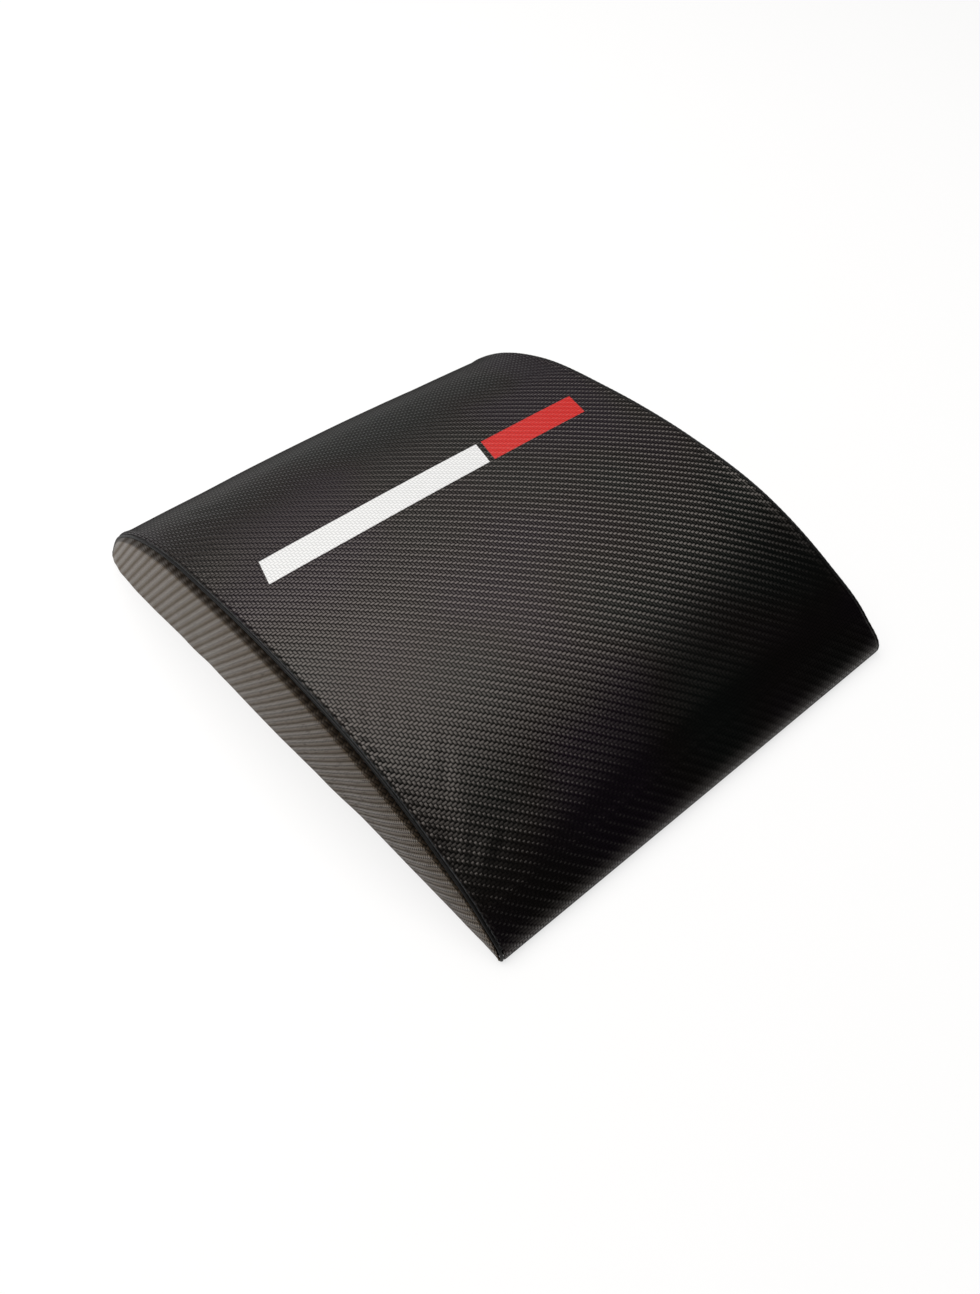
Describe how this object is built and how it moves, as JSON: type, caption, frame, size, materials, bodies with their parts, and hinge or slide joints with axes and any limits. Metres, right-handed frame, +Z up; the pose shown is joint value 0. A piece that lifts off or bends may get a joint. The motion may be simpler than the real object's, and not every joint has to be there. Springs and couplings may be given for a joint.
{
  "type": "ab mat",
  "caption": "Arched foam sit-up mat in a carbon-look vinyl cover, thin at the front and thick at the rear, with an anti-slip base and a zip.",
  "frame": {"origin": "middle of the base, on the surface that the mat rests on", "axes": "+X across the mat to the right, +Y from the thin front edge to the thick rear nose, +Z up"},
  "size_m": [0.306, 0.385, 0.077],
  "materials": {
    "carbon_vinyl": "semi-gloss vinyl embossed with a twill",
    "welt_vinyl": "semi-gloss",
    "foam": "open-cell foam, matt",
    "grip_fabric": "matt fabric with small rubber dots",
    "zip_tape": "woven tape",
    "zip_coil": "nylon",
    "zip_metal": "black painted zinc"
  },
  "bodies": {
    "mat": {"foam_core": "foam", "top_panel": "carbon_vinyl", "left_side_panel": "carbon_vinyl", "right_side_panel": "carbon_vinyl", "left_seam_welt": "welt_vinyl", "right_seam_welt": "welt_vinyl", "base_main_panel": "grip_fabric", "base_rear_panel": "grip_fabric", "zip_front_tape": "zip_tape", "zip_rear_tape": "zip_tape", "zip_front_coil": "zip_coil", "zip_rear_coil": "zip_coil", "zip_front_top_stop": "zip_metal", "zip_rear_top_stop": "zip_metal", "zip_bottom_stop": "zip_metal"},
    "slider": {"zip_slider": "zip_metal"},
    "pull_tab": {"zip_pull_tab": "zip_metal"}
  },
  "joints": [
    {"name": "zip_slide", "type": "slide", "parent": "mat", "child": "slider", "axis": [-1, 0, 0], "range_m": [0, 0.2569]},
    {"name": "pull_tab_hinge", "type": "hinge", "parent": "slider", "child": "pull_tab", "pos_m": [0.1312, 0.1475, 0.00225], "axis": [0, -1, 0], "range_deg": [0, 170]}
  ]
}
